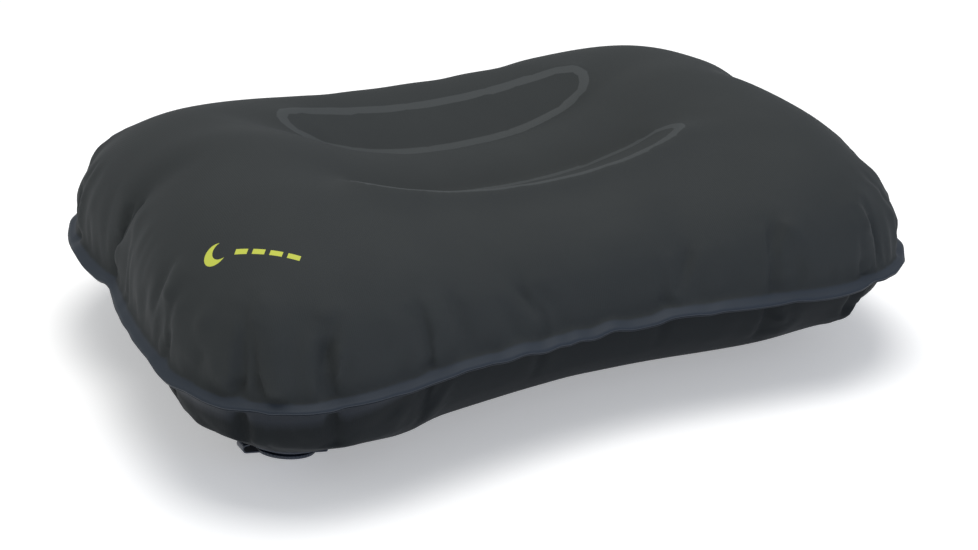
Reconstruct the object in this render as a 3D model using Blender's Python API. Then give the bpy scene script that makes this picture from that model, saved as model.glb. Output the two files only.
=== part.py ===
"""Inflatable camp pillow: two welded fabric panels, two inner ties and a two-flap air valve.

Metres. +X along the pillow, +Y to its back, +Z up, with the origin under its centre on the
surface that it rests on. The valve is built in its own frame: its origin on the outside of the
bottom panel, its Z pointing out of the pillow and its X along the pillow.
"""

import math

import bmesh
import bpy
from mathutils import Matrix, Vector

# Outline of the welded seam
LENGTH = 0.408
WIDTH = 0.324
WAIST = 0.026  # how far each long side pulls in at mid-length
WAIST_REACH = 0.85  # share of the half length that the pulled-in stretch takes up
CORNER_POWER = 5.4  # 2 would be an ellipse, and higher is squarer
SEAM_WIDTH = 0.008
SEAM_HEIGHT = 0.054

# The two panels, as rises and drops from the seam
FABRIC = 0.001
PLY_GAP = 0.0003
TOP_RISE = 0.0975
TOP_SAG = 0.0198
TOP_FULLNESS = 0.385
TOP_VALLEY = 0.056
TOP_VALLEY_OVERRUN = 0.05  # how far the valley carries on past the ends of the ties
BOTTOM_PRESS = 0.027  # how far the ends would hang below the ground if they didn't flatten
BOTTOM_SAG = 0.0215
BOTTOM_FULLNESS = 0.5
BOTTOM_VALLEY = 0.036
BOTTOM_VALLEY_OVERRUN = 0.035
VALLEY_MARGIN = 0.008  # from the valley's edge to the seam at mid-length
PANEL_CELLS = 24

# The two ties, closed bands that hold the panels together along long rounded loops
TIE_LENGTH = 0.18
TIE_WIDTH = 0.034
TIE_OFFSET = 0.05  # from the pillow's middle line to each tie's
TIE_POWER = 3.0
TIE_WALL = 0.001
TIE_WELD_WIDTH = 0.0052
TIE_WELD_WALL = 0.0008
TIE_GAP = 0.0007
TIE_STEPS = 44
VENT_RADIUS = 0.006
VENT_SPACING = 0.06

# Place of the valve on the bottom panel
VALVE_FROM_END = 0.048  # from the seam at the pillow's left end
VALVE_FROM_SIDE = 0.056  # from the seam along its front
VALVE_HEIGHT = 0.0135
VALVE_TILT = math.radians(12)  # its outer face leans towards the pillow's front left corner
PAD_MARGIN = 0.011
PAD_BLEND = 0.018

# The valve itself
SEAT_GAP = 0.0003
BORE_RADIUS = 0.0105
COLLAR_WALL = 0.002
COLLAR_HEIGHT = 0.004
BASE_LIP = 0.0065
BASE_WALL = 0.001
OUTLET_LIP = 0.0015
OUTLET_WALL = 0.0015
OUTLET_PLUG_DEPTH = 0.0027
PLUG_WALL = 0.0018
PLUG_CLEARANCE = 0.0004
PORT_RADIUS = 0.005
HUB_RADIUS = 0.0024
HUB_HOLE_RADIUS = 0.0013
SPIDER_WALL = 0.0008
SPIDER_ARM_WIDTH = 0.0014
SPIDER_ARMS = 3
INLET_LIP = 0.0035
INLET_WALL = 0.0012
INLET_PLUG_WALL = 0.0012
DISC_LAP = 0.0018
DISC_WALL = 0.0006
STEM_RADIUS = 0.0010
STEM_LENGTH = 0.0018
STRAP_WIDTH = 0.009
STRAP_WALL = 0.0007
OUTLET_STRAP_REACH = 0.0015  # from the base's rim to the middle of the strap's fold
INLET_STRAP_REACH = 0.0045  # the same, from the outlet cap's rim
ROUND_STEPS = 40
FOLD_STEPS = 12

HALF_LENGTH = LENGTH / 2 - SEAM_WIDTH
HALF_WIDTH = WIDTH / 2 - SEAM_WIDTH
BOTTOM_DROP = SEAM_HEIGHT + BOTTOM_PRESS
VALVE_X = VALVE_FROM_END - HALF_LENGTH
VALVE_Y = VALVE_FROM_SIDE - HALF_WIDTH
COLLAR_RADIUS = BORE_RADIUS + COLLAR_WALL
BASE_RADIUS = COLLAR_RADIUS + BASE_LIP
OUTLET_RADIUS = COLLAR_RADIUS + OUTLET_LIP
INLET_RADIUS = PORT_RADIUS + INLET_LIP
DISC_RADIUS = PORT_RADIUS + DISC_LAP
PAD_FLAT_RADIUS = BASE_RADIUS + PAD_MARGIN
BASE_TOP = SEAT_GAP + BASE_WALL
OUTLET_LOW = COLLAR_HEIGHT + SEAT_GAP
OUTLET_HIGH = OUTLET_LOW + OUTLET_WALL
INLET_LOW = OUTLET_HIGH + SEAT_GAP
INLET_HIGH = INLET_LOW + INLET_WALL
OUTLET_STRAP_LOW = SEAT_GAP + BASE_WALL / 2
OUTLET_STRAP_HIGH = OUTLET_LOW + OUTLET_WALL / 2
INLET_STRAP_LOW = OUTLET_LOW + STRAP_WALL
INLET_STRAP_HIGH = INLET_LOW + INLET_WALL - STRAP_WALL / 2
OUTLET_PIVOT = (-BASE_RADIUS - OUTLET_STRAP_REACH, 0, (OUTLET_STRAP_LOW + OUTLET_STRAP_HIGH) / 2)
INLET_PIVOT = (OUTLET_RADIUS + INLET_STRAP_REACH, 0, (INLET_STRAP_LOW + INLET_STRAP_HIGH) / 2)


def clear_scene():
    for obj in list(bpy.data.objects):
        bpy.data.objects.remove(obj, do_unlink=True)


def smoothstep(value):
    value = min(max(value, 0.0), 1.0)
    return value * value * (3 - 2 * value)


def signed_power(value, power):
    return math.copysign(abs(value) ** power, value)


# ---------------------------------------------------------------- shape of the panels


def half_width_at(x):
    """Half the width inside the seam, with the long sides pulled in at mid-length."""
    along = min(abs(x) / (WAIST_REACH * LENGTH / 2), 1.0)
    return HALF_WIDTH - WAIST * math.cos(math.pi / 2 * along) ** 2


def seam_share(x, y):
    """0 at the middle of the pillow and 1 on the inner line of the seam."""
    share = abs(x / HALF_LENGTH) ** CORNER_POWER + abs(y / half_width_at(x)) ** CORNER_POWER
    return share ** (1 / CORNER_POWER)


def valley(x, y, depth, overrun):
    """How far the ties draw a panel in, deepest along the middle."""
    along = min(abs(x) / (TIE_LENGTH / 2 + overrun), 1.0)
    across = min(abs(y) / (half_width_at(0) - VALLEY_MARGIN), 1.0)
    return depth * (1 - along**4) ** 2 * (1 - across**2) ** 2


def dome(x, y, rise, sag, fullness):
    waist_share = math.cos(math.pi / 2 * min(abs(x) / HALF_LENGTH, 1.0)) ** 2
    inside = max(1 - seam_share(x, y) ** 2, 0.0)
    return (rise - sag * waist_share) * inside**fullness


def top_height(x, y):
    lift = dome(x, y, TOP_RISE, TOP_SAG, TOP_FULLNESS)
    drawn_in = valley(x, y, TOP_VALLEY, TOP_VALLEY_OVERRUN)
    return SEAM_HEIGHT + PLY_GAP / 2 + FABRIC + lift - drawn_in


def valve_plane_height(x, y):
    lean = math.tan(VALVE_TILT) / math.hypot(VALVE_X, VALVE_Y)
    return VALVE_HEIGHT + lean * ((x - VALVE_X) * VALVE_X + (y - VALVE_Y) * VALVE_Y)


def bottom_height(x, y):
    """The underside, flat where it rests on the ground and where the valve is welded on."""
    drop = dome(x, y, BOTTOM_DROP, BOTTOM_SAG, BOTTOM_FULLNESS)
    raised = valley(x, y, BOTTOM_VALLEY, BOTTOM_VALLEY_OVERRUN)
    height = max(SEAM_HEIGHT - PLY_GAP / 2 - FABRIC - drop + raised, 0.0)
    from_valve = math.hypot(x - VALVE_X, y - VALVE_Y)
    free = smoothstep((from_valve - PAD_FLAT_RADIUS) / PAD_BLEND)
    return free * height + (1 - free) * valve_plane_height(x, y)


def place_in_outline(u, v):
    """A point of the square from -1 to 1, moved to its place inside the seam."""
    ring = max(abs(u), abs(v))
    if ring == 0:
        return 0.0, 0.0
    norm = (abs(u) ** CORNER_POWER + abs(v) ** CORNER_POWER) ** (1 / CORNER_POWER)
    scale = math.sin(math.pi / 2 * ring) / norm
    x = u * scale * HALF_LENGTH
    return x, v * scale * half_width_at(x)


def outward(x, y):
    """Direction away from the pillow, level and square to the seam."""
    step = 1e-5
    slope_x = seam_share(x + step, y) - seam_share(x - step, y)
    slope_y = seam_share(x, y + step) - seam_share(x, y - step)
    return Vector((slope_x, slope_y, 0)).normalized()


def panel_grid(height):
    bm = bmesh.new()
    bmesh.ops.create_grid(bm, x_segments=PANEL_CELLS, y_segments=PANEL_CELLS, size=1)
    for vert in bm.verts:
        x, y = place_in_outline(vert.co.x, vert.co.y)
        vert.co = (x, y, height(x, y))
    bm.normal_update()
    return bm


def add_seam_ply(bm):
    """Carries the panel on outwards, level, as its half of the welded seam."""
    rim = [edge for edge in bm.edges if edge.is_boundary]
    grown = bmesh.ops.extrude_edge_only(bm, edges=rim)["geom"]
    for vert in [item for item in grown if isinstance(item, bmesh.types.BMVert)]:
        vert.co += outward(vert.co.x, vert.co.y) * SEAM_WIDTH


# ---------------------------------------------------------------- making objects


def plain_material(name, colour, roughness):
    material = bpy.data.materials.new(name)
    material.use_nodes = True
    shader = material.node_tree.nodes["Principled BSDF"]
    shader.inputs["Base Color"].default_value = (*colour, 1)
    shader.inputs["Roughness"].default_value = roughness
    shader.inputs["Metallic"].default_value = 0
    return material


def object_from(name, bm, material=None):
    bmesh.ops.recalc_face_normals(bm, faces=bm.faces)
    mesh = bpy.data.meshes.new(name)
    bm.to_mesh(mesh)
    bm.free()
    obj = bpy.data.objects.new(name, mesh)
    bpy.context.scene.collection.objects.link(obj)
    if material:
        mesh.materials.append(material)
    return obj


def helper_from(name, bm):
    obj = object_from(name, bm)
    obj.hide_render = True
    obj.display_type = "WIRE"
    return obj


def boolean(obj, operation, other):
    modifier = obj.modifiers.new(other.name, "BOOLEAN")
    modifier.operation = operation
    modifier.solver = "EXACT"
    modifier.object = other


def solidify(obj, thickness, offset):
    modifier = obj.modifiers.new("wall", "SOLIDIFY")
    modifier.thickness = thickness
    modifier.offset = offset
    modifier.use_even_offset = True


# ---------------------------------------------------------------- panels and ties


def panel(name, height, facing, material):
    bm = panel_grid(height)
    add_seam_ply(bm)
    obj = object_from(name, bm, material)
    if obj.data.polygons[0].normal.z * facing < 0:
        obj.data.flip_normals()
    solidify(obj, FABRIC, -1)
    return obj


def air_space(name, gap):
    """The closed space between the panels, less a gap all round, for fitting the ties."""
    bm = panel_grid(top_height)
    for vert in bm.verts:
        vert.co -= vert.normal * (FABRIC + gap)
    floor = panel_grid(bottom_height)
    floor_points = [vert.co + vert.normal * (FABRIC + gap) for vert in floor.verts]
    floor.free()
    grown = bmesh.ops.extrude_face_region(bm, geom=list(bm.faces))["geom"]
    lowered = [item for item in grown if isinstance(item, bmesh.types.BMVert)]
    for vert, point in zip(lowered, floor_points):
        vert.co = point
    return helper_from(name, bm)


def tie_wall(middle_y):
    """An upright sheet along a tie's loop, taller than the pillow."""
    bm = bmesh.new()
    bmesh.ops.create_circle(bm, segments=TIE_STEPS, radius=1)
    for vert in bm.verts:
        angle = math.atan2(vert.co.y, vert.co.x)
        along = signed_power(math.cos(angle), 2 / TIE_POWER)
        across = signed_power(math.sin(angle), 2 / TIE_POWER)
        vert.co = (along * TIE_LENGTH / 2, middle_y + across * TIE_WIDTH / 2, -SEAM_HEIGHT)
    grown = bmesh.ops.extrude_edge_only(bm, edges=list(bm.edges))["geom"]
    for vert in [item for item in grown if isinstance(item, bmesh.types.BMVert)]:
        vert.co.z = 2 * SEAM_HEIGHT + TOP_RISE
    return bm


def vents(name, middle_y):
    """Cutters for the holes that let air through a tie's upright band."""
    bm = bmesh.new()
    for side in (-1, 1):
        place = Matrix.Translation((side * VENT_SPACING / 2, middle_y, SEAM_HEIGHT - TIE_WALL))
        bmesh.ops.create_cone(
            bm,
            cap_ends=True,
            segments=16,
            radius1=VENT_RADIUS,
            radius2=VENT_RADIUS,
            depth=TIE_WIDTH * 1.5,
            matrix=place @ Matrix.Rotation(math.pi / 2, 4, "X"),
        )
    return helper_from(name, bm)


def tie(name, middle_y, outer_air, web_air, inner_air, material):
    """A band round a loop, with a weld strip turned along the panel at its top and bottom."""
    strips = helper_from(name + "_strips", tie_wall(middle_y))
    solidify(strips, TIE_WELD_WIDTH, 0)
    boolean(strips, "INTERSECT", outer_air)
    boolean(strips, "DIFFERENCE", inner_air)
    band = object_from(name, tie_wall(middle_y), material)
    solidify(band, TIE_WALL, 0)
    boolean(band, "INTERSECT", web_air)
    boolean(band, "UNION", strips)
    boolean(band, "DIFFERENCE", vents(name + "_vents", middle_y))
    return band


# ---------------------------------------------------------------- valve


def valve_frame():
    out = Vector((math.tan(VALVE_TILT) * VALVE_X, math.tan(VALVE_TILT) * VALVE_Y, 0))
    out = (out / math.hypot(VALVE_X, VALVE_Y) - Vector((0, 0, 1))).normalized()
    along = (Vector((1, 0, 0)) - out * out.x).normalized()
    across = out.cross(along)
    turn = Matrix((along, across, out)).transposed().to_4x4()
    return Matrix.Translation((VALVE_X, VALVE_Y, VALVE_HEIGHT)) @ turn


def turned(profile):
    """A closed profile of (radius, height) points, spun round the valve's axis."""
    bm = bmesh.new()
    verts = [bm.verts.new((radius, 0, height)) for radius, height in profile]
    edges = [bm.edges.new((a, b)) for a, b in zip(verts, verts[1:] + verts[:1])]
    bmesh.ops.spin(
        bm,
        geom=verts + edges,
        cent=(0, 0, 0),
        axis=(0, 0, 1),
        angle=2 * math.pi,
        steps=ROUND_STEPS,
        use_merge=True,
    )
    bmesh.ops.remove_doubles(bm, verts=bm.verts, dist=1e-6)
    bmesh.ops.dissolve_degenerate(bm, edges=bm.edges, dist=1e-7)
    return bm


def at_pivot(obj, pivot):
    """Places a piece made in the valve's frame, with its origin on its pivot."""
    obj.data.transform(Matrix.Translation(-Vector(pivot)))
    obj.matrix_world = valve_frame() @ Matrix.Translation(Vector(pivot))


def valve_base(material):
    """A flat ring welded to the panel, with a collar that the outlet cap plugs into."""
    profile = [
        (BORE_RADIUS, SEAT_GAP),
        (BASE_RADIUS, SEAT_GAP),
        (BASE_RADIUS, BASE_TOP),
        (COLLAR_RADIUS, BASE_TOP),
        (COLLAR_RADIUS, COLLAR_HEIGHT),
        (BORE_RADIUS, COLLAR_HEIGHT),
    ]
    obj = object_from("valve_base", turned(profile), material)
    at_pivot(obj, (0, 0, 0))


def spider_arm(turn):
    bm = bmesh.new()
    length = PORT_RADIUS + PLUG_WALL / 2 - HUB_RADIUS * 0.8
    middle = HUB_RADIUS * 0.8 + length / 2
    stretch = Matrix.Diagonal((length, SPIDER_ARM_WIDTH, SPIDER_WALL * 0.75, 1))
    place = Matrix.Translation((middle, 0, OUTLET_LOW + SPIDER_WALL / 2))
    bmesh.ops.create_cube(bm, size=1, matrix=Matrix.Rotation(turn, 4, "Z") @ place @ stretch)
    return bm


def outlet_cap(material):
    """The wide cap: its plug fits the collar, and its port and spider carry the one-way disc."""
    plug = BORE_RADIUS - PLUG_CLEARANCE
    plug_low = OUTLET_LOW - OUTLET_PLUG_DEPTH
    profile = [
        (PORT_RADIUS, OUTLET_LOW),
        (plug - PLUG_WALL, OUTLET_LOW),
        (plug - PLUG_WALL, plug_low),
        (plug, plug_low),
        (plug, OUTLET_LOW),
        (OUTLET_RADIUS, OUTLET_LOW),
        (OUTLET_RADIUS, OUTLET_HIGH),
        (PORT_RADIUS, OUTLET_HIGH),
    ]
    cap = object_from("outlet_cap", turned(profile), material)
    hub_high = OUTLET_LOW + SPIDER_WALL
    hub_profile = [
        (HUB_HOLE_RADIUS, OUTLET_LOW),
        (HUB_RADIUS, OUTLET_LOW),
        (HUB_RADIUS, hub_high),
        (HUB_HOLE_RADIUS, hub_high),
    ]
    hub = helper_from("spider_hub", turned(hub_profile))
    arms = []
    for index in range(SPIDER_ARMS):
        turn = 2 * math.pi * index / SPIDER_ARMS
        arms.append(helper_from(f"spider_arm_{index}", spider_arm(turn)))
    at_pivot(cap, OUTLET_PIVOT)
    for helper in [hub, *arms]:
        at_pivot(helper, OUTLET_PIVOT)
        boolean(cap, "UNION", helper)


def one_way_disc(material):
    """A soft disc under the port, pushed open by its stem when air is let out."""
    high = OUTLET_LOW - SEAT_GAP
    low = high - DISC_WALL
    profile = [
        (0, low),
        (DISC_RADIUS, low),
        (DISC_RADIUS, high),
        (STEM_RADIUS, high),
        (STEM_RADIUS, high + STEM_LENGTH),
        (0, high + STEM_LENGTH),
    ]
    obj = object_from("one_way_disc", turned(profile), material)
    at_pivot(obj, (0, 0, high))


def inlet_cap(material):
    """The small cap that closes the port."""
    plug = PORT_RADIUS - PLUG_CLEARANCE
    plug_low = OUTLET_LOW + SPIDER_WALL + SEAT_GAP
    profile = [
        (0, INLET_LOW),
        (plug - INLET_PLUG_WALL, INLET_LOW),
        (plug - INLET_PLUG_WALL, plug_low),
        (plug, plug_low),
        (plug, INLET_LOW),
        (INLET_RADIUS, INLET_LOW),
        (INLET_RADIUS, INLET_HIGH),
        (0, INLET_HIGH),
    ]
    obj = object_from("inlet_cap", turned(profile), material)
    at_pivot(obj, INLET_PIVOT)


def strap(name, side, pivot, low_edge, high_edge, material):
    """A folded strap: out from one rim, round its pivot and back to the other rim."""
    reach = abs(pivot[0])
    low = OUTLET_STRAP_LOW if side < 0 else INLET_STRAP_LOW
    high = OUTLET_STRAP_HIGH if side < 0 else INLET_STRAP_HIGH
    radius = (high - low) / 2
    bm = bmesh.new()
    points = [(low_edge + SEAT_GAP, low)]
    for step in range(FOLD_STEPS + 1):
        fold = -math.pi / 2 + math.pi * step / FOLD_STEPS
        points.append((reach + radius * math.cos(fold), pivot[2] + radius * math.sin(fold)))
    points.append((high_edge + SEAT_GAP, high))
    verts = [bm.verts.new((side * x, -STRAP_WIDTH / 2, z)) for x, z in points]
    edges = [bm.edges.new(pair) for pair in zip(verts, verts[1:])]
    grown = bmesh.ops.extrude_edge_only(bm, edges=edges)["geom"]
    for vert in [item for item in grown if isinstance(item, bmesh.types.BMVert)]:
        vert.co.y = STRAP_WIDTH / 2
    obj = object_from(name, bm, material)
    solidify(obj, STRAP_WALL, 0)
    at_pivot(obj, pivot)


# ---------------------------------------------------------------- the pillow


def build():
    clear_scene()
    fabric = plain_material("pillow_fabric", (0.050, 0.056, 0.060), 0.85)
    tie_film = plain_material("tie_film", (0.30, 0.31, 0.32), 0.5)
    moulded = plain_material("valve_plastic", (0.045, 0.055, 0.075), 0.45)
    silicone = plain_material("valve_silicone", (0.62, 0.63, 0.62), 0.4)

    panel("top_panel", top_height, 1, fabric)
    underside = panel("bottom_panel", bottom_height, -1, fabric)

    hole = bmesh.new()
    bmesh.ops.create_cone(
        hole,
        cap_ends=True,
        segments=ROUND_STEPS,
        radius1=COLLAR_RADIUS,
        radius2=COLLAR_RADIUS,
        depth=8 * FABRIC,
    )
    cutter = helper_from("valve_hole", hole)
    cutter.matrix_world = valve_frame()
    boolean(underside, "DIFFERENCE", cutter)

    outer_air = air_space("air_at_weld", TIE_GAP)
    web_air = air_space("air_at_web", TIE_GAP + TIE_WELD_WALL / 2)
    inner_air = air_space("air_inside_weld", TIE_GAP + TIE_WELD_WALL)
    tie("front_tie", -TIE_OFFSET, outer_air, web_air, inner_air, tie_film)
    tie("rear_tie", TIE_OFFSET, outer_air, web_air, inner_air, tie_film)

    valve_base(moulded)
    outlet_cap(moulded)
    one_way_disc(silicone)
    inlet_cap(moulded)
    strap("outlet_strap", -1, OUTLET_PIVOT, BASE_RADIUS, OUTLET_RADIUS, moulded)
    strap("inlet_strap", 1, INLET_PIVOT, OUTLET_RADIUS, INLET_RADIUS, moulded)


build()
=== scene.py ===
"""The looks of an inflatable camp pillow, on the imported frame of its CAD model. Metres, +Z up."""

import math

import bmesh
import bpy
from mathutils import Matrix, Vector
from mathutils.bvhtree import BVHTree
from mathutils.geometry import delaunay_2d_cdt
from mathutils.kdtree import KDTree
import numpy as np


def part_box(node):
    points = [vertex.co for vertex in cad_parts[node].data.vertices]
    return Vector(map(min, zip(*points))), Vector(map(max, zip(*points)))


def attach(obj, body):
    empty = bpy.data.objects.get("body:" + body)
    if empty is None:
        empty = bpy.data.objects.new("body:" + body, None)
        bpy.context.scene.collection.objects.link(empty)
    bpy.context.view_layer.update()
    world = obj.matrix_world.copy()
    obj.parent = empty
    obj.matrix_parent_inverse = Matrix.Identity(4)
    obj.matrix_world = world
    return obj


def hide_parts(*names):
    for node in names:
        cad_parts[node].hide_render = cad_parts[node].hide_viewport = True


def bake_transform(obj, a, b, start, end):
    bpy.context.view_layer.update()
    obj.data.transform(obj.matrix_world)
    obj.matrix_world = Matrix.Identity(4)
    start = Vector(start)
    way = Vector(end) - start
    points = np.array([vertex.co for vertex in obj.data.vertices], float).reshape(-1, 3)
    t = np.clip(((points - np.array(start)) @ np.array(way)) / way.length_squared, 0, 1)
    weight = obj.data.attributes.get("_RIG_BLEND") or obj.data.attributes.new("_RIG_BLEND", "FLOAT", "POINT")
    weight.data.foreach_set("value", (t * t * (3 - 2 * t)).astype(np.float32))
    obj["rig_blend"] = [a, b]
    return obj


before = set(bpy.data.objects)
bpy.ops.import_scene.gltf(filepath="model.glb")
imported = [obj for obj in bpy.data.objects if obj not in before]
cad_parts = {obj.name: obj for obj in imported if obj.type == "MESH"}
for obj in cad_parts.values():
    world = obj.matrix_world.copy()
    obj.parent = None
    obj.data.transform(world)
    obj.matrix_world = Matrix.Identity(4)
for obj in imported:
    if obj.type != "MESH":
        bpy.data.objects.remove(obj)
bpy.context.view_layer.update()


# ---------------------------------------------------------------- studio
# A white table, clear from below so that the underside can be seen. A big soft lamp is overhead,
# with weaker, cooler ones in front and at the left.

floor_mesh = bmesh.new()
floor_height = -0.0004
bmesh.ops.create_grid(floor_mesh, x_segments=1, y_segments=1, size=6, matrix=Matrix.Translation((0, 0, floor_height)))
floor_data = bpy.data.meshes.new("table_top")
floor_mesh.to_mesh(floor_data)
floor_mesh.free()
table_top = bpy.data.objects.new("table_top", floor_data)
bpy.context.scene.collection.objects.link(table_top)
table_paint = bpy.data.materials.new("white_table")
table_paint.use_nodes = True
table_shader = table_paint.node_tree.nodes["Principled BSDF"]
table_shader.inputs["Base Color"].default_value = (0.88, 0.88, 0.88, 1)
table_shader.inputs["Roughness"].default_value = 0.9
table_shader.inputs["Specular IOR Level"].default_value = 0.1
table_shader.inputs["Emission Color"].default_value = (1, 1, 1, 1)
table_shader.inputs["Emission Strength"].default_value = 0.34
see_through = table_paint.node_tree.nodes.new("ShaderNodeBsdfTransparent")
from_below = table_paint.node_tree.nodes.new("ShaderNodeNewGeometry")
one_sided = table_paint.node_tree.nodes.new("ShaderNodeMixShader")
table_link = table_paint.node_tree.links.new
table_link(from_below.outputs["Backfacing"], one_sided.inputs["Fac"])
table_link(table_shader.outputs["BSDF"], one_sided.inputs[1])
table_link(see_through.outputs["BSDF"], one_sided.inputs[2])
table_link(one_sided.outputs["Shader"], table_paint.node_tree.nodes["Material Output"].inputs["Surface"])
floor_data.materials.append(table_paint)

room = bpy.data.worlds.new("pale_room")
room.use_nodes = True
room.node_tree.nodes["Background"].inputs["Color"].default_value = (0.93, 0.96, 1.0, 1)
room.node_tree.nodes["Background"].inputs["Strength"].default_value = 0.42
bpy.context.scene.world = room
bpy.context.scene.view_settings.view_transform = "Standard"


def soft_lamp(name, place, aim, size, power, colour):
    """A square lamp that points from place to aim."""
    lamp = bpy.data.lights.new(name, "AREA")
    lamp.shape = "SQUARE"
    lamp.size = size
    lamp.energy = power
    lamp.color = colour
    holder = bpy.data.objects.new(name, lamp)
    bpy.context.scene.collection.objects.link(holder)
    holder.location = place
    holder.rotation_euler = (Vector(aim) - Vector(place)).to_track_quat("-Z", "Y").to_euler()


soft_lamp("overhead_lamp", (0.05, 0.05, 1.4), (0, 0, 0.05), 1.0, 14.0, (1.0, 0.985, 0.955))
soft_lamp("left_lamp", (-1.3, 0.2, 0.7), (-0.05, 0, 0.06), 0.8, 1.0, (0.97, 0.98, 1.0))
soft_lamp("front_lamp", (0.5, -1.5, 0.45), (0.05, 0, 0.05), 0.9, 3.0, (0.32, 0.50, 1.0))

camera = bpy.data.objects.new("camera", bpy.data.cameras.new("camera"))
bpy.context.scene.collection.objects.link(camera)
camera.data.sensor_width = 36
camera.data.lens = 60.39
camera.location = (-0.3588, -0.7347, 0.4000)
camera_aim = Vector((0.0008, -0.0104, 0.0304))
camera.rotation_euler = (camera_aim - camera.location).to_track_quat("-Z", "Y").to_euler()
bpy.context.scene.camera = camera


# ---------------------------------------------------------------- valve plastic and silicone
# The valve is moulded in dark blue-grey flexible plastic with a satin, faintly pebbled skin.
# Its one-way disc is clear grey silicone, and the ties inside are cut from grey film.


def finish_node(material, kind, **values):
    """Adds a shader node and sets its plain inputs and settings."""
    node = material.node_tree.nodes.new(kind)
    for name, value in values.items():
        socket = node.inputs.get(name.replace("_", " "))
        if socket is None:
            setattr(node, name, value)
        else:
            socket.default_value = value
    return node


def skin(name, colour, mottle, mottle_scale, roughness, grain_scale, grain_depth):
    """A finish with faint clouds of a second colour, uneven roughness and a fine raised grain."""
    material = bpy.data.materials.new(name)
    material.use_nodes = True
    link = material.node_tree.links.new
    shader = material.node_tree.nodes["Principled BSDF"]
    place = finish_node(material, "ShaderNodeTexCoord")
    clouds = finish_node(material, "ShaderNodeTexNoise", Scale=mottle_scale, Detail=4)
    link(place.outputs["Object"], clouds.inputs["Vector"])
    blend = finish_node(material, "ShaderNodeMix", data_type="RGBA")
    blend.inputs[6].default_value = (*colour, 1)
    blend.inputs[7].default_value = (*mottle, 1)
    link(clouds.outputs["Fac"], blend.inputs[0])
    link(blend.outputs[2], shader.inputs["Base Color"])
    polish = finish_node(material, "ShaderNodeMapRange", To_Min=roughness - 0.06, To_Max=roughness + 0.06)
    link(clouds.outputs["Fac"], polish.inputs["Value"])
    link(polish.outputs["Result"], shader.inputs["Roughness"])
    grain = finish_node(material, "ShaderNodeTexNoise", Scale=grain_scale, Detail=3)
    link(place.outputs["Object"], grain.inputs["Vector"])
    bump = finish_node(material, "ShaderNodeBump", Strength=0.5, Distance=grain_depth)
    link(grain.outputs["Fac"], bump.inputs["Height"])
    link(bump.outputs["Normal"], shader.inputs["Normal"])
    return material


valve_plastic = skin("satin_valve_plastic", (0.020, 0.028, 0.045), (0.030, 0.040, 0.062), 160, 0.36, 2600, 0.00005)
valve_silicone = skin("grey_silicone", (0.55, 0.57, 0.58), (0.62, 0.63, 0.63), 220, 0.34, 3000, 0.00003)
valve_silicone.node_tree.nodes["Principled BSDF"].inputs["Subsurface Weight"].default_value = 0.25
valve_silicone.node_tree.nodes["Principled BSDF"].inputs["Subsurface Scale"].default_value = 0.001
tie_film = skin("tie_film", (0.20, 0.21, 0.22), (0.27, 0.28, 0.29), 90, 0.42, 1400, 0.00008)


# ---------------------------------------------------------------- the fabric, cut flat and blown up
# Two panels of film-backed stretch fabric are cut to one flat outline with pinched long sides and
# welded round their rims. Two ties hold them together along long rounded loops. Air then swells
# the cut, and the rim, which has too much length for the swollen shape, puckers.

cloth_cell = 0.0055
cut_half_length = 0.226
cut_end_bow = 0.006
cut_half_width = 0.1905
cut_waist = 0.0295
cut_corner_power = 3.6
seam_height = 0.057
lip_width = 0.008
weld_half_width = 0.0025
tie_ease = 0.985  # how far the weld loops draw in as the cut swells
tie_lift = 0.007
tie_low, tie_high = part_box("front_tie")
tie_half_length = (tie_high.x - tie_low.x) / 2 - weld_half_width
tie_half_width = (tie_high.y - tie_low.y) / 2 - weld_half_width
tie_middle = -(tie_high.y + tie_low.y) / 2


def cut_half_width_at(x):
    along = min(abs(x) / cut_half_length, 1.0)
    return cut_half_width - cut_waist * math.cos(math.pi / 2 * along) ** 2


def cut_share(x, y):
    """0 at the middle of the cut and 1 on its seam line."""
    bow = cut_end_bow * math.cos(math.pi / 2 * min(abs(y) / cut_half_width, 1.0)) ** 2
    half_length = cut_half_length + bow
    share = abs(x / half_length) ** cut_corner_power + abs(y / cut_half_width_at(x)) ** cut_corner_power
    return share ** (1 / cut_corner_power)


def signed_power(value, power):
    return math.copysign(abs(value) ** power, value)


def smoothstep(value):
    value = min(max(value, 0.0), 1.0)
    return value * value * (3 - 2 * value)


def evenly_spaced(points, spacing):
    """Points at equal steps along a closed line."""
    closed = points + points[:1]
    lengths = [(b - a).length for a, b in zip(closed, closed[1:])]
    count = round(sum(lengths) / spacing)
    step = sum(lengths) / count
    found, walked, side = [], 0.0, 0
    for index in range(count):
        while walked + lengths[side] < index * step:
            walked += lengths[side]
            side += 1
        found.append(closed[side].lerp(closed[side + 1], (index * step - walked) / lengths[side]))
    return found


def seam_line():
    points = []
    for index in range(1440):
        angle = 2 * math.pi * index / 1440
        x = cut_half_length * signed_power(math.cos(angle), 2 / cut_corner_power)
        y = cut_half_width_at(x) * signed_power(math.sin(angle), 2 / cut_corner_power)
        points.append(Vector((x, y)) / cut_share(x, y))
    return evenly_spaced(points, cloth_cell)


def tie_line(middle, grown):
    points = []
    for index in range(480):
        angle = 2 * math.pi * index / 480
        x = (tie_half_length + grown) * signed_power(math.cos(angle), 2 / 3)
        y = middle + (tie_half_width + grown) * signed_power(math.sin(angle), 2 / 3)
        points.append(Vector((x, y)) / tie_ease)
    return evenly_spaced(points, cloth_cell * 0.9)


seam = seam_line()
weld_lines = [tie_line(side * tie_middle, grown) for side in (-1, 1) for grown in (-weld_half_width, weld_half_width)]
lines = [seam, *weld_lines]
line_points = [point for line in lines for point in line]
spacing_grid = {}
for point in line_points:
    spacing_grid.setdefault((round(point.x / cloth_cell), round(point.y / cloth_cell)), []).append(point)


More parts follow.
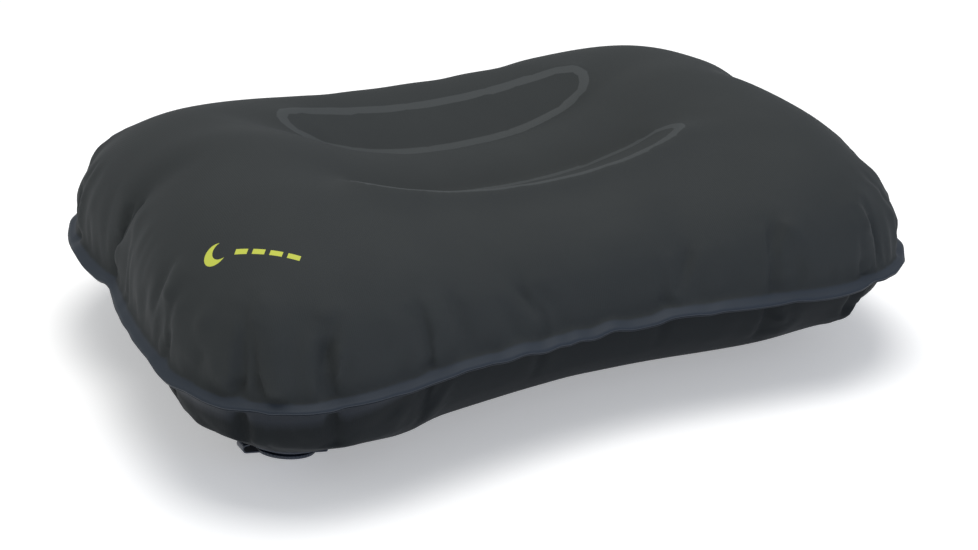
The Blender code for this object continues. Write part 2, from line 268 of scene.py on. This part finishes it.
def clear_of_lines(point):
    column, row = round(point.x / cloth_cell), round(point.y / cloth_cell)
    around = [spacing_grid.get((column + i, row + j), []) for i in (-1, 0, 1) for j in (-1, 0, 1)]
    return all((point - other).length > 0.6 * cloth_cell for group in around for other in group)


loose_points = []
row_step = cloth_cell * math.sqrt(3) / 2
for row in range(-round(cut_half_width / row_step) - 1, round(cut_half_width / row_step) + 2):
    for column in range(-round(cut_half_length / cloth_cell) - 2, round(cut_half_length / cloth_cell) + 3):
        point = Vector(((column + row % 2 / 2) * cloth_cell, row * row_step))
        if cut_share(*point) < 1 and clear_of_lines(point):
            loose_points.append(point)

line_edges, first = [], 0
for line in lines:
    line_edges += [(first + index, first + (index + 1) % len(line)) for index in range(len(line))]
    first += len(line)
cut_points, _, cut_faces, *_ = delaunay_2d_cdt(line_points + loose_points, line_edges, [], 0, 1e-7)

fabric = bmesh.new()
weld_mark = fabric.verts.layers.float.new("weld")
lip_mark = fabric.verts.layers.float.new("lip")
cut_place = fabric.verts.layers.float_vector.new("cut_place")
sheet_mark = fabric.faces.layers.int.new("sheet")
TOP_SHEET, BOTTOM_SHEET, LIP = 1, 2, 3
start_puff = 0.012


for x, y in cut_points:
    rise = start_puff * (1 - min(cut_share(x, y), 1.0) ** 2)
    fabric.verts.new((x, y, seam_height + rise))[cut_place] = (x, y, 0)
fabric.verts.ensure_lookup_table()
for corners in cut_faces:
    centre = sum((cut_points[index] for index in corners), Vector((0, 0))) / len(corners)
    if cut_share(*centre) < 1:
        fabric.faces.new([fabric.verts[index] for index in corners])[sheet_mark] = TOP_SHEET
weld_keys = {(round(point.x, 6), round(point.y, 6)) for line in weld_lines for point in line}
for vert in fabric.verts:
    vert[weld_mark] = (round(vert.co.x, 6), round(vert.co.y, 6)) in weld_keys

copied = bmesh.ops.duplicate(fabric, geom=list(fabric.verts) + list(fabric.edges) + list(fabric.faces))["geom"]
below = [item for item in copied if isinstance(item, bmesh.types.BMFace)]
for item in copied:
    if isinstance(item, bmesh.types.BMVert):
        item.co.z = 2 * seam_height - item.co.z
bmesh.ops.reverse_faces(fabric, faces=below)
for face in below:
    face[sheet_mark] = BOTTOM_SHEET
rim_verts = [vert for vert in fabric.verts if vert.is_boundary]
bmesh.ops.remove_doubles(fabric, verts=rim_verts, dist=1e-5)
rim = [
    edge
    for edge in fabric.edges
    if len(edge.link_faces) == 2 and edge.link_faces[0][sheet_mark] != edge.link_faces[1][sheet_mark]
]
seam_place = {(round(point.x, 5), round(point.y, 5)): index for index, point in enumerate(seam)}
rings = [[None] * len(seam)]
for edge in rim:
    for vert in edge.verts:
        rings[0][seam_place[round(vert.co.x, 5), round(vert.co.y, 5)]] = vert
for _ in range(2):
    grown = bmesh.ops.extrude_edge_only(fabric, edges=rim)["geom"]
    for face in [item for item in grown if isinstance(item, bmesh.types.BMFace)]:
        face[sheet_mark] = LIP
    ring = [item for item in grown if isinstance(item, bmesh.types.BMVert)]
    slide = {}
    for vert in ring:
        x, y = vert.co.x, vert.co.y
        slope_x = cut_share(x + 1e-4, y) - cut_share(x - 1e-4, y)
        slope_y = cut_share(x, y + 1e-4) - cut_share(x, y - 1e-4)
        slope = Vector((slope_x, slope_y, 0))
        slide[vert] = slope.normalized() * lip_width / 2
    root_at = {(round(vert.co.x, 7), round(vert.co.y, 7)): index for index, vert in enumerate(rings[-1])}
    rings.append([None] * len(seam))
    for vert, move in slide.items():
        rings[-1][root_at[round(vert.co.x, 7), round(vert.co.y, 7)]] = vert
        vert.co += move
        vert[lip_mark] = 1
    rim = [item for item in grown if isinstance(item, bmesh.types.BMEdge) and len(item.link_faces) == 1]

fabric.verts.index_update()
cloth_mesh = bpy.data.meshes.new("fabric_cut")
fabric.to_mesh(cloth_mesh)
cloth = bpy.data.objects.new("fabric_cut", cloth_mesh)
bpy.context.scene.collection.objects.link(cloth)


def surface_tree(node):
    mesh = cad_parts[node].data
    return BVHTree.FromPolygons([vert.co for vert in mesh.vertices], [face.vertices for face in mesh.polygons])


top_tree = surface_tree("top_panel")
bottom_tree = surface_tree("bottom_panel")
cloth.shape_key_add(name="flat")
drawn_in = cloth.shape_key_add(name="tied")
tied_verts = []
for vert in fabric.verts:
    if vert[weld_mark]:
        x, y = vert.co.x * tie_ease, vert.co.y * tie_ease
        if vert.link_faces[0][sheet_mark] == TOP_SHEET:
            z = top_tree.ray_cast(Vector((x, y, 1)), Vector((0, 0, -1)))[0].z + tie_lift
        else:
            z = bottom_tree.ray_cast(Vector((x, y, -1)), Vector((0, 0, 1)))[0].z
        drawn_in.data[vert.index].co = (x, y, z)
        tied_verts.append(vert.index)
drawn_in.value = 0
drawn_in.keyframe_insert("value", frame=1)
drawn_in.value = 1
drawn_in.keyframe_insert("value", frame=12)

cloth.vertex_groups.new(name="tied").add(tied_verts, 1, "REPLACE")
blown = [vert.index for vert in fabric.verts if not vert[lip_mark]]
cloth.vertex_groups.new(name="blown").add(blown, 1, "REPLACE")
underside = {vert.index for vert in fabric.verts if vert.link_faces[0][sheet_mark] == BOTTOM_SHEET}
stretch = cloth.vertex_groups.new(name="stretch")
most_stretch, least_stretch = 0.09, -0.01
middle_stretch, end_stretch = 0.030, 0.04  # the top's at the dish, and how much more its ends have
for vert in fabric.verts:
    share = smoothstep((abs(vert.co.x) - 0.07) / 0.06)
    wanted = least_stretch if vert.index in underside else middle_stretch + end_stretch * share
    stretch.add([vert.index], (most_stretch - wanted) / (most_stretch - least_stretch), "REPLACE")
air = cloth.modifiers.new("air", "CLOTH")
air.settings.quality = 6
air.settings.mass = 0.05
air.settings.tension_stiffness = 15
air.settings.compression_stiffness = 0.3
air.settings.shear_stiffness = 1
air.settings.bending_stiffness = 0.05
air.settings.tension_damping = 5
air.settings.compression_damping = 5
air.settings.shear_damping = 5
air.settings.bending_damping = 0.5
air.settings.air_damping = 1
air.settings.vertex_group_mass = "tied"
air.settings.vertex_group_shrink = "stretch"
air.settings.shrink_min = -most_stretch  # the top panel is the stretchier one
air.settings.shrink_max = -least_stretch
air.settings.use_pressure = True
air.settings.uniform_pressure_force = 100
air.settings.vertex_group_pressure = "blown"
air.settings.effector_weights.gravity = 0
air.collision_settings.use_collision = False
air.collision_settings.use_self_collision = False
last_frame = 40
air.point_cache.frame_end = last_frame
bpy.context.scene.frame_end = last_frame
for step in range(1, last_frame + 1):
    bpy.context.scene.frame_set(step)
swollen = cloth.evaluated_get(bpy.context.evaluated_depsgraph_get()).data
for vert in fabric.verts:
    vert.co = swollen.vertices[vert.index].co
bpy.context.scene.frame_set(1)
bpy.data.objects.remove(cloth, do_unlink=True)


def neighbours(index, reach, ring):
    """The places of the verts that lie reach steps before and after one in a closed ring."""
    return ring[index - reach].co, ring[(index + reach) % len(ring)].co


# The seam's widest waves are evened out, and the fabric beside it follows.
evening_width = 0.02
evened_share = 0.8
follow_width = 0.07
seam_ring = rings[0]
wavy = [vert.co.copy() for vert in seam_ring]
for _ in range(round(2 * (evening_width / cloth_cell) ** 2)):
    evened = []
    for index, vert in enumerate(seam_ring):
        evened.append((vert.co * 2 + sum(neighbours(index, 1, seam_ring), Vector())) / 4)
    for vert, place in zip(seam_ring, evened):
        vert.co = place
shifts = [(vert.co - before) * evened_share for vert, before in zip(seam_ring, wavy)]
seam_index = KDTree(len(seam_ring))
for index, vert in enumerate(seam_ring):
    seam_index.insert(vert[cut_place], index)
    vert.co = wavy[index]
seam_index.balance()
for vert in fabric.verts:
    _, index, distance = seam_index.find(vert[cut_place])
    if not vert[weld_mark]:
        vert.co += shifts[index] * smoothstep(1 - distance / follow_width)

# Beside the front tie the top panel runs on almost level before it turns down to the seam.
ridge_drop = 0.010
for vert in fabric.verts:
    if vert.link_faces[0][sheet_mark] == TOP_SHEET and vert.co.y < 0 and not vert[weld_mark]:
        ahead = -vert.co.y - tie_middle - tie_half_width
        level = smoothstep(ahead / 0.010) * smoothstep((0.080 - ahead) / 0.05)
        level *= smoothstep((0.15 - abs(vert.co.x)) / 0.09)
        vert.co.z -= ridge_drop * level

# The rim was pressed flat between two bars, and it droops a little.
pressed_share = 0.85
rim_droop = math.radians(28)
for index, root in enumerate(seam_ring):
    before, after = neighbours(index, 3, seam_ring)
    along = after - before
    outwards = Vector((along.y, -along.x, 0)).normalized()
    rim_way = outwards * math.cos(rim_droop) - Vector((0, 0, math.sin(rim_droop)))
    for row, ring in enumerate(rings[1:], 1):
        pressed_flat = root.co + rim_way * row * lip_width / 2
        ring[index].co = ring[index].co.lerp(pressed_flat, pressed_share)

# Sharp little tucks run into the fabric from the seam round its four corners.
# Each has its turn from the corner in degrees, its share of the full depth, and its length.
tuck_kinds = (
    (-34, 0.5, 0.03),
    (-17, 0.9, 0.045),
    (-3, 1.0, 0.055),
    (9, 0.85, 0.04),
    (22, 1.0, 0.05),
    (40, 0.6, 0.03),
)
full_tuck = 0.0046
tuck_half_width = 0.0022
tucks = []
for corner_x, corner_y in ((-1, -1), (1, -1), (1, 1), (-1, 1)):
    for turn, depth, length in tuck_kinds:
        corner = Vector((0.205 * corner_x, 0.165 * corner_y, 0))
        spot = Matrix.Rotation(math.radians(turn * corner_x * corner_y), 3, "Z") @ corner
        while cut_share(spot.x, spot.y) > 1:
            spot *= 0.995
        tucks.append((seam_index.find(spot)[1], depth, length))
tuck_frames = []
for index, depth, length in tucks:
    before, after = neighbours(index, 4, seam_ring)
    tuck_frames.append((seam_ring[index].co.copy(), (after - before).normalized(), depth, length))


def tuck_depth(place):
    """How deep the tucks are at a place, 0 to 1, with slight swells beside them."""
    deepest = 0.0
    for root, along, depth, length in tuck_frames:
        offset = place - root
        sideways = offset.dot(along)
        inwards = math.sqrt(max(offset.length_squared - sideways**2, 0.0))
        if abs(sideways) < 0.014 and inwards < length:
            groove = math.exp(-((sideways / tuck_half_width) ** 2))
            swell = 0.28 * math.exp(-(((abs(sideways) - 0.0065) / 0.0035) ** 2))
            strength = depth * (groove - swell) * (1 - inwards / length) ** 1.2
            if abs(strength) > abs(deepest):
                deepest = strength
    return deepest


def beside_a_tuck(place):
    for root, along, _, length in tuck_frames:
        if abs((place - root).dot(along)) < 0.009 and (place - root).length < length:
            return True
    return False


near_tucks = {
    vert
    for vert in fabric.verts
    if not vert[weld_mark] and vert.link_faces[0][sheet_mark] != LIP and beside_a_tuck(vert.co)
}
near_tucks -= set(seam_ring)
edges_near = [edge for edge in fabric.edges if near_tucks.issuperset(edge.verts)]
bmesh.ops.subdivide_edges(fabric, edges=edges_near, cuts=1, use_grid_fill=False)
bmesh.ops.triangulate(fabric, faces=[face for face in fabric.faces if len(face.verts) > 4])
fabric.normal_update()
moves = []
for vert in fabric.verts:
    strength = tuck_depth(vert.co)
    if strength and not vert[lip_mark]:
        out = Vector((vert.co.x, vert.co.y, 0)).normalized()
        up = 1 if vert.link_faces[0][sheet_mark] == TOP_SHEET else -1
        moves.append((vert, (out * 0.8 + Vector((0, 0, 0.5 * up))).normalized() * strength * -full_tuck))
for vert, move in moves:
    vert.co += move


# ---------------------------------------------------------------- top and bottom covers
# Each cover is one panel with its half of the welded rim. The bottom one lies flat on the table
# under both ends. It is drawn taut round the valve, with a hole behind the valve's bore.

valve_place = Vector((-0.148, -0.098, 0.0135))
valve_lean = math.radians(12)
valve_out = Vector((valve_place.x, valve_place.y, 0)).normalized() * math.tan(valve_lean)
valve_out = (valve_out - Vector((0, 0, 1))).normalized()
pad_radius = 0.021
pad_blend = 0.055
taut_slope = 0.45
taut_reach = 0.085
valve_hole_radius = 0.0145
cover_wall = 0.0008
ply_shift = 0.0009


def printed_mark(material, cloth_colour):
    """A crescent moon and a row of short bars in yellow-green ink, above the front left corner."""
    link = material.node_tree.links.new

    def maths(operation, first_value, second_value=0.0):
        node = finish_node(material, "ShaderNodeMath", operation=operation)
        for socket, value in zip(node.inputs, (first_value, second_value)):
            if isinstance(value, (int, float)):
                socket.default_value = value
            else:
                link(value, socket)
        return node.outputs[0]

    def within(across, along, middle_across, middle_along, radius):
        step_across = maths("SUBTRACT", across, middle_across)
        step_along = maths("SUBTRACT", along, middle_along)
        across_squared = maths("MULTIPLY", step_across, step_across)
        along_squared = maths("MULTIPLY", step_along, step_along)
        squares = maths("ADD", across_squared, along_squared)
        return maths("LESS_THAN", squares, radius**2)

    place = finish_node(material, "ShaderNodeTexCoord")
    turned = finish_node(material, "ShaderNodeMapping", vector_type="TEXTURE")
    turned.inputs["Location"].default_value = (-0.171, -0.083, 0)
    turned.inputs["Rotation"].default_value = (0, 0, math.radians(-40))
    link(place.outputs["Object"], turned.inputs["Vector"])
    axes = finish_node(material, "ShaderNodeSeparateXYZ")
    link(turned.outputs["Vector"], axes.inputs["Vector"])
    along, across = axes.outputs["X"], axes.outputs["Y"]
    moon = within(across, along, 0.0, 0.0, 0.0052)
    bite = within(across, along, 0.0016, 0.0024, 0.0043)
    crescent = maths("MULTIPLY", moon, maths("SUBTRACT", 1.0, bite))
    first_bar, bar_pitch, bar_length, last_end = 0.0095, 0.0082, 0.0058, 0.0399
    bar_half_height = 0.0013
    bar = maths("LESS_THAN", maths("MODULO", maths("SUBTRACT", along, first_bar), bar_pitch), bar_length)
    low = maths("LESS_THAN", maths("ABSOLUTE", across), bar_half_height)
    ends = maths("MULTIPLY", maths("GREATER_THAN", along, first_bar), maths("LESS_THAN", along, last_end))
    bars = maths("MULTIPLY", maths("MULTIPLY", bar, low), ends)
    above = maths("GREATER_THAN", axes.outputs["Z"], 0.06)
    ink = maths("MULTIPLY", maths("MAXIMUM", crescent, bars), above)
    inked = finish_node(material, "ShaderNodeMix", data_type="RGBA")
    link(ink, inked.inputs[0])
    link(cloth_colour, inked.inputs[6])
    inked.inputs[7].default_value = (0.56, 0.60, 0.09, 1)
    return inked.outputs[2]


def cover_fabric(name, colour, clouded_tone, rim_colour_and_painted_light, marked):
    """Brushed stretch knit: clouded colour in two given tones, which for the underside are painted shade, fine ribs and
    fuzz, paler smooth weld bands, and a rim with painted bluish light over its own paler tone.
    """
    material = bpy.data.materials.new(name)
    material.use_nodes = True
    link = material.node_tree.links.new
    shader = material.node_tree.nodes["Principled BSDF"]
    shader.inputs["Sheen Weight"].default_value = 0.02
    shader.inputs["Sheen Roughness"].default_value = 0.45
    shader.inputs["Sheen Tint"].default_value = (0.80, 0.86, 0.95, 1)
    shader.inputs["Specular IOR Level"].default_value = 0.12
    place = finish_node(material, "ShaderNodeTexCoord")
    clouds = finish_node(material, "ShaderNodeTexNoise", Scale=28, Detail=5, Roughness=0.6)
    link(place.outputs["Object"], clouds.inputs["Vector"])
    fuzz = finish_node(material, "ShaderNodeTexNoise", Scale=1500, Detail=2)
    link(place.outputs["Object"], fuzz.inputs["Vector"])
    # For the underside these two tones are painted shade, a darker copy of the top's colours.
    dye_and_painted_shade = finish_node(material, "ShaderNodeMix", data_type="RGBA")
    dye_and_painted_shade.inputs[6].default_value = (*colour, 1)
    dye_and_painted_shade.inputs[7].default_value = (*clouded_tone, 1)
    link(clouds.outputs["Fac"], dye_and_painted_shade.inputs[0])
    weld = finish_node(material, "ShaderNodeAttribute", attribute_name="weld")
    band = finish_node(material, "ShaderNodeMapRange", From_Min=0.86, From_Max=0.97, To_Max=0.7)
    link(weld.outputs["Fac"], band.inputs["Value"])
    pressed = finish_node(material, "ShaderNodeMix", data_type="RGBA")
    link(band.outputs["Result"], pressed.inputs[0])
    link(dye_and_painted_shade.outputs[2], pressed.inputs[6])
    pressed.inputs[7].default_value = (0.060, 0.066, 0.068, 1)
    # The rim colour mixed in here carries painted bluish light, and on the underside painted shade too.
    lip = finish_node(material, "ShaderNodeAttribute", attribute_name="lip")
    edge = finish_node(material, "ShaderNodeMapRange", From_Min=0.15, From_Max=0.6, To_Max=0.85)
    link(lip.outputs["Fac"], edge.inputs["Value"])
    rimmed = finish_node(material, "ShaderNodeMix", data_type="RGBA")
    link(edge.outputs["Result"], rimmed.inputs[0])
    link(pressed.outputs[2], rimmed.inputs[6])
    rimmed.inputs[7].default_value = (*rim_colour_and_painted_light, 1)
    shown = printed_mark(material, rimmed.outputs[2]) if marked else rimmed.outputs[2]
    link(shown, shader.inputs["Base Color"])
    smooth = finish_node(material, "ShaderNodeMath", operation="MAXIMUM")
    link(band.outputs["Result"], smooth.inputs[0])
    link(edge.outputs["Result"], smooth.inputs[1])
    polish = finish_node(material, "ShaderNodeMapRange", To_Min=0.74, To_Max=0.50)
    link(smooth.outputs[0], polish.inputs["Value"])
    link(polish.outputs["Result"], shader.inputs["Roughness"])
    ribs = finish_node(material, "ShaderNodeTexWave", Scale=330, Distortion=0.6, Detail=1, bands_direction="X")
    link(place.outputs["Object"], ribs.inputs["Vector"])
    nap = finish_node(material, "ShaderNodeMath", operation="MULTIPLY_ADD")
    link(ribs.outputs["Fac"], nap.inputs[0])
    nap.inputs[1].default_value = 0.35
    link(fuzz.outputs["Fac"], nap.inputs[2])
    bump = finish_node(material, "ShaderNodeBump", Strength=0.35, Distance=0.00012)
    link(nap.outputs[0], bump.inputs["Height"])
    link(bump.outputs["Normal"], shader.inputs["Normal"])
    return material


def cover(name, own_sheet, side, finish, node):
    """One panel with its half of the rim, walled inwards."""
    piece = fabric.copy()
    own_mark = piece.faces.layers.int["sheet"]
    others = [face for face in piece.faces if face[own_mark] not in (own_sheet, LIP)]
    bmesh.ops.delete(piece, geom=others, context="FACES")
    bmesh.ops.recalc_face_normals(piece, faces=piece.faces)
    if sum(face.normal.z * face.calc_area() for face in piece.faces if face[own_mark] == own_sheet) * side < 0:
        bmesh.ops.reverse_faces(piece, faces=piece.faces)
    lip_layer, weld_layer = piece.verts.layers.float["lip"], piece.verts.layers.float["weld"]
    loose = [vert for vert in piece.verts if not vert[weld_layer] and not vert.is_boundary]
    cut_layer = piece.verts.layers.float_vector["cut_place"]
    inner = [vert for vert in loose if cut_share(*vert[cut_layer].xy) < 0.82]
    every_axis = {"use_axis_x": True, "use_axis_y": True, "use_axis_z": True}
    for _ in range(round(8 * (0.0055 / cloth_cell) ** 2)):
        bmesh.ops.smooth_vert(piece, verts=inner, factor=0.5, **every_axis)
    bmesh.ops.smooth_vert(piece, verts=loose, factor=0.2, **every_axis)
    piece.normal_update()
    for vert in piece.verts:
        if any(face[own_mark] == LIP for face in vert.link_faces):
            vert.co += vert.normal * ply_shift
    if side < 0:
        for vert in piece.verts:
            offset = vert.co - valve_place
            from_axis = (offset - valve_out * offset.dot(valve_out)).length
            free = smoothstep((from_axis - pad_radius) / pad_blend)
            if not vert[lip_layer] and vert.co.z < 0.055:
                flat_z = vert.co.z - offset.dot(valve_out) / valve_out.z
                taut_z = flat_z + taut_slope * max(from_axis - pad_radius, 0.0)
                raised = smoothstep((taut_reach - from_axis) / 0.05)
                raised *= smoothstep(0.5 - (0.65 * offset.x + 0.76 * offset.y) / 0.04)
                vert.co.z = free * vert.co.z + (1 - free) * flat_z
                vert.co.z += raised * max(taut_z - vert.co.z, 0.0)
            vert.co.z = max(vert.co.z, 0.0)
        hole = [vert for vert in piece.verts if (vert.co - valve_place).length < valve_hole_radius]
        bmesh.ops.delete(piece, geom=hole, context="VERTS")
    for face in piece.faces:
        face.smooth = True
    mesh = bpy.data.meshes.new(name)
    piece.to_mesh(mesh)
    piece.free()
    mesh.materials.append(finish)
    obj = bpy.data.objects.new(name, mesh)
    bpy.context.scene.collection.objects.link(obj)
    rounded = obj.modifiers.new("rounded", "SUBSURF")
    rounded.levels = rounded.render_levels = 1
    wall = obj.modifiers.new("wall", "SOLIDIFY")
    wall.thickness = cover_wall
    wall.offset = -1
    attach(obj, "pillow_body")
    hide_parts(node)


# The top's rim is paler and bluer than its panel: the pressed edge is a little paler, and the blue tint is painted
# bluish light.
top_fabric = cover_fabric(
    "brushed_fabric_top",
    colour=(0.031, 0.0345, 0.0355),
    clouded_tone=(0.0375, 0.0415, 0.042),
    rim_colour_and_painted_light=(0.037, 0.046, 0.060),
    marked=True,
)
# The underside's fabric and rim are much darker copies of the top's: painted shade for the side turned away from the
# overhead lamp.
bottom_fabric_painted_shade = cover_fabric(
    "brushed_fabric_bottom_painted_shade",
    colour=(0.0085, 0.0105, 0.012),
    clouded_tone=(0.0115, 0.0138, 0.0155),
    rim_colour_and_painted_light=(0.016, 0.020, 0.027),
    marked=False,
)
cover("top_cover", TOP_SHEET, 1, top_fabric, "top_panel")
cover("bottom_cover", BOTTOM_SHEET, -1, bottom_fabric_painted_shade, "bottom_panel")
fabric.free()


# ---------------------------------------------------------------- ties
# Two closed bands of grey film, welded to both panels along their loops and pierced so that air
# passes. They are sealed inside the pillow and keep the CAD model's shape.

for node in ("front_tie", "rear_tie"):
    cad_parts[node].data.materials.clear()
    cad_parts[node].data.materials.append(tie_film)


# ---------------------------------------------------------------- valve base
# A flat ring of soft plastic, welded to the bottom panel round its hole. Its collar is the seat
# that the wide cap's plug presses into, and a low bead runs round the flange.

valve_along = (Vector((1, 0, 0)) - valve_out * valve_out.x).normalized()
valve_turn = Matrix((valve_along, valve_out.cross(valve_along), valve_out)).transposed().to_4x4()
valve_frame = Matrix.Translation(valve_place) @ valve_turn
bore_radius = 0.0105
collar_radius = 0.0125
base_radius = 0.019
base_low = 0.0003
base_wall = 0.001
collar_height = 0.004


def turned_ring(profile):
    """A closed profile of (radius, height) points spun round the valve's axis."""
    made = bmesh.new()
    verts = [made.verts.new((radius, 0, height)) for radius, height in profile]
    edges = [made.edges.new(pair) for pair in zip(verts, verts[1:] + verts[:1])]
    turn = {"axis": (0, 0, 1), "cent": (0, 0, 0), "angle": 2 * math.pi, "steps": 72}
    bmesh.ops.spin(made, geom=verts + edges, use_merge=True, **turn)
    bmesh.ops.remove_doubles(made, verts=made.verts, dist=1e-6)
    bmesh.ops.dissolve_degenerate(made, edges=made.edges, dist=1e-7)
    bmesh.ops.recalc_face_normals(made, faces=made.faces)
    return made


def valve_piece(name, made, finish, node, edge_radius):
    """Puts a piece made in the valve's own frame in its place, with softened edges."""
    made.transform(valve_frame)
    for face in made.faces:
        face.smooth = True
    mesh = bpy.data.meshes.new(name)
    made.to_mesh(mesh)
    made.free()
    mesh.materials.append(finish)
    obj = bpy.data.objects.new(name, mesh)
    bpy.context.scene.collection.objects.link(obj)
    if edge_radius:
        soft = obj.modifiers.new("soft_edges", "BEVEL")
        soft.width = edge_radius
        soft.segments = 2
        soft.limit_method = "ANGLE"
        soft.angle_limit = math.radians(40)
        soft.harden_normals = True
    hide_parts(node)
    return obj


def joined(first_part, *parts):
    """Adds the meshes of parts to the first one."""
    for part in parts:
        holder = bpy.data.meshes.new("part")
        part.to_mesh(holder)
        part.free()
        first_part.from_mesh(holder)
        bpy.data.meshes.remove(holder)
    return first_part


base_top = base_low + base_wall
base = turned_ring([
    (bore_radius, base_low),
    (base_radius, base_low),
    (base_radius, base_top - 0.0002),
    (base_radius - 0.0012, base_top),
    (base_radius - 0.0018, base_top + 0.0003),
    (base_radius - 0.0024, base_top),
    (collar_radius, base_top),
    (collar_radius, collar_height),
    (bore_radius, collar_height),
])
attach(valve_piece("valve_ring", base, valve_plastic, "valve_base", 0.0002), "pillow_body")


# ---------------------------------------------------------------- outlet cap
# The wide cap that lets all the air out. Its plug fits the collar, and a hub on three arms across
# its port holds the one-way disc. Fine grips round its rim help wet fingers.

outlet_low = 0.0043
outlet_high = 0.0058
outlet_radius = 0.014
plug_radius = 0.0101
plug_wall = 0.0018
port_radius = 0.005
spider_wall = 0.0008
hub_radius = 0.0024
outlet_cap = turned_ring([
    (port_radius, outlet_low),
    (plug_radius - plug_wall, outlet_low),
    (plug_radius - plug_wall, outlet_low - 0.0024),
    (plug_radius, outlet_low - 0.0027),
    (plug_radius, outlet_low),
    (outlet_radius, outlet_low),
    (outlet_radius, outlet_high),
    (outlet_radius - 0.0016, outlet_high),
    (outlet_radius - 0.0022, outlet_high - 0.0003),
    (port_radius + 0.0042, outlet_high - 0.0003),
    (port_radius + 0.0036, outlet_high),
    (port_radius, outlet_high),
])
hub = turned_ring([
    (0.0013, outlet_low),
    (hub_radius, outlet_low),
    (hub_radius, outlet_low + spider_wall),
    (0.0013, outlet_low + spider_wall),
])
arms = []
for index in range(3):
    arm = bmesh.new()
    arm_length = port_radius + 0.0006 - hub_radius
    stretch = Matrix.Diagonal((arm_length, 0.0014, spider_wall * 0.75, 1))
    spot = Matrix.Translation((hub_radius - 0.0003 + arm_length / 2, 0, outlet_low + spider_wall / 2))
    bmesh.ops.create_cube(arm, size=1, matrix=Matrix.Rotation(2 * math.pi * index / 3, 4, "Z") @ spot @ stretch)
    arms.append(arm)
grips = []
for index in range(48):
    angle = 2 * math.pi * index / 48
    if abs(math.sin(angle)) > 0.36:
        grip = bmesh.new()
        stretch = Matrix.Diagonal((0.0005, 0.0007, outlet_high - outlet_low - 0.0005, 1))
        spot = Matrix.Translation((outlet_radius, 0, (outlet_low + outlet_high) / 2))
        bmesh.ops.create_cube(grip, size=1, matrix=Matrix.Rotation(angle, 4, "Z") @ spot @ stretch)
        grips.append(grip)
outlet = joined(outlet_cap, hub, *arms, *grips)
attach(valve_piece("outlet_flap_cap", outlet, valve_plastic, "outlet_cap", 0.00018), "outlet_flap")


# ---------------------------------------------------------------- one-way disc
# A soft silicone disc that lies under the port and keeps the air in while the user blows. Its
# short stem, pressed by a finger, opens it again.

disc_high = outlet_low - 0.0003
disc = turned_ring([
    (0, disc_high - 0.0006),
    (0.0060, disc_high - 0.0006),
    (0.0068, disc_high - 0.0003),
    (0.0068, disc_high),
    (0.0010, disc_high),
    (0.0010, disc_high + 0.0016),
    (0.0007, disc_high + 0.0018),
    (0, disc_high + 0.0018),
])
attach(valve_piece("disc_of_silicone", disc, valve_silicone, "one_way_disc", 0.0001), "valve_disc")


# ---------------------------------------------------------------- inlet cap
# The small cap that closes the port. It is dished on top, and its plug is a plain sleeve.

inlet_low = 0.0061
inlet_high = 0.0073
inlet_radius = 0.0085
inlet_plug = 0.0046
inlet = turned_ring([
    (0, inlet_low),
    (inlet_plug - 0.0012, inlet_low),
    (inlet_plug - 0.0012, 0.0054),
    (inlet_plug, 0.0054),
    (inlet_plug, inlet_low),
    (inlet_radius, inlet_low),
    (inlet_radius, inlet_high),
    (inlet_radius - 0.0011, inlet_high),
    (inlet_radius - 0.0019, inlet_high - 0.0004),
    (0, inlet_high - 0.0004),
])
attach(valve_piece("inlet_flap_cap", inlet, valve_plastic, "inlet_cap", 0.00018), "inlet_flap")


# ---------------------------------------------------------------- straps
# Each cap hangs on a short folded strap moulded in one with it, and the fold is its hinge. The
# wide cap's strap comes from the base's rim, and the small cap's from the wide cap's rim.

strap_width = 0.009
strap_wall = 0.0007


def folded_strap(side, low_start, high_start, reach, low, high):
    """Out from one rim, round the fold and back to the other rim, with rounded long edges."""
    made = bmesh.new()
    radius = (high - low) / 2
    points = [(low_start + 0.0003, low), ((low_start + reach) / 2, low)]
    for step in range(17):
        fold = -math.pi / 2 + math.pi * step / 16
        points.append((reach + radius * math.cos(fold), (low + high) / 2 + radius * math.sin(fold)))
    points += [((high_start + reach) / 2, high), (high_start + 0.0003, high)]
    verts = [made.verts.new((side * x, -strap_width / 2, z)) for x, z in points]
    edges = [made.edges.new(pair) for pair in zip(verts, verts[1:])]
    for _ in range(6):
        grown = bmesh.ops.extrude_edge_only(made, edges=edges)["geom"]
        moved = [item for item in grown if isinstance(item, bmesh.types.BMVert)]
        bmesh.ops.translate(made, verts=moved, vec=(0, strap_width / 6, 0))
        open_edges = [item for item in grown if isinstance(item, bmesh.types.BMEdge) and len(item.link_faces) == 1]
        edges = [edge for edge in open_edges if all(vert in moved for vert in edge.verts)]
    bmesh.ops.recalc_face_normals(made, faces=made.faces)
    bmesh.ops.solidify(made, geom=made.faces, thickness=strap_wall)
    bmesh.ops.recalc_face_normals(made, faces=made.faces)
    return made


outlet_strap = folded_strap(-1, base_radius, outlet_radius, 0.0205, base_low + base_wall / 2, outlet_low + 0.00075)
piece = valve_piece("outlet_hinge_strap", outlet_strap, valve_plastic, "outlet_strap", 0.00015)
fold_middle = valve_frame @ Vector((-0.0205, 0, 0.0029))
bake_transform(piece, "pillow_body", "outlet_flap", fold_middle - valve_out * 0.0018, fold_middle + valve_out * 0.0018)

inlet_strap = folded_strap(1, outlet_radius, inlet_radius, 0.0185, outlet_low + strap_wall, inlet_high - strap_wall / 2)
piece = valve_piece("inlet_hinge_strap", inlet_strap, valve_plastic, "inlet_strap", 0.00015)
fold_middle = valve_frame @ Vector((0.0185, 0, 0.005975))
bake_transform(piece, "outlet_flap", "inlet_flap", fold_middle - valve_out * 0.0009, fold_middle + valve_out * 0.0009)
